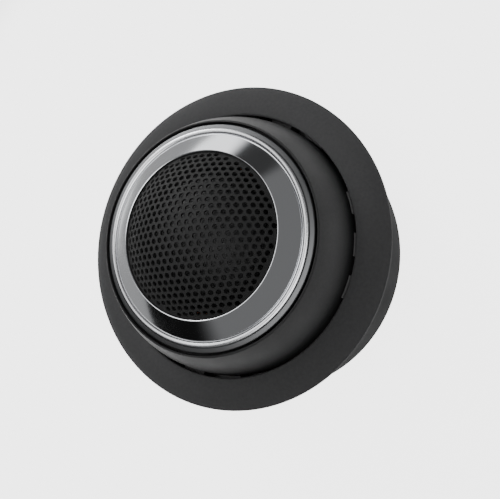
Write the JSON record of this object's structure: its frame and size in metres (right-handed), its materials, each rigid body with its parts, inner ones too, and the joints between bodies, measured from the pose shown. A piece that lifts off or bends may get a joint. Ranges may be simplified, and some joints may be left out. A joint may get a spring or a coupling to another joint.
{
  "type": "car tweeter",
  "caption": "Round surface-mount car tweeter: a domed mesh and polished trim ring on a ball that swivels and tilts in a matte black cup with a convex bezel.",
  "frame": {"origin": "centre of the rear mounting face, on the back of the adhesive pad", "axes": "+Z out of the front along the tweeter's axis at rest; X through the two mounting screws and the pivot pins; Y across them"},
  "size_m": [0.057, 0.057, 0.037],
  "materials": {
    "cup_plastic": "fine moulded texture",
    "bezel_plastic": "fine moulded texture",
    "foam_tape": "closed-cell foam",
    "gland_rubber": "soft rubber",
    "washer_film": "smooth polymer film",
    "ring_plastic": "smooth moulded",
    "ball_plastic": "fine moulded texture",
    "pin_steel": "ground steel",
    "screw_steel": "black zinc",
    "polished_trim": "lathe-turned and polished",
    "grille_paint": "black powder coat",
    "inner_plastic": "moulded",
    "coated_cloth": "doped cloth",
    "zinc_steel": "zinc plated",
    "nickel": "nickel plated",
    "felt": "wool felt",
    "foam": "open-cell foam",
    "tab_brass": "tinned brass",
    "lead_braid": "woven copper",
    "dome_silk": "doped silk",
    "former_film": "thin foil",
    "coil_wire": "enamelled copper"
  },
  "bodies": {
    "mount": {"mount_cup": "cup_plastic", "bezel_ring": "bezel_plastic", "adhesive_pad": "foam_tape", "cable_grommet": "gland_rubber", "friction_washer": "washer_film"},
    "swivel": {"swivel_ring": "ring_plastic"},
    "ball": {"front_shell": "ball_plastic", "rear_shell": "ball_plastic", "pivot_pins": "pin_steel", "shell_screws": "screw_steel", "trim_ring": "polished_trim", "mesh_grille": "grille_paint", "grille_retainer": "inner_plastic", "diaphragm_plate": "inner_plastic", "surround": "coated_cloth", "yoke_cup": "zinc_steel", "magnet": "nickel", "pole_plate": "zinc_steel", "damping_pad": "felt", "rear_damping_pad": "foam", "terminal_tabs": "tab_brass", "tinsel_leads": "lead_braid"},
    "diaphragm": {"dome": "dome_silk", "coil_former": "former_film", "voice_coil": "coil_wire"}
  },
  "joints": [
    {"name": "ring_turn", "type": "hinge", "parent": "mount", "child": "swivel", "pos_m": [0, 0, 0.0188], "axis": [0, 0, 1], "range_deg": [-180, 180]},
    {"name": "ball_tilt", "type": "hinge", "parent": "swivel", "child": "ball", "pos_m": [0, 0, 0.0188], "axis": [1, 0, 0], "range_deg": [-15, 15]},
    {"name": "diaphragm_travel", "type": "slide", "parent": "ball", "child": "diaphragm", "axis": [0, 0, 1], "range_m": [-0.0004, 0.0004], "stiffness_N_per_m": 200}
  ]
}
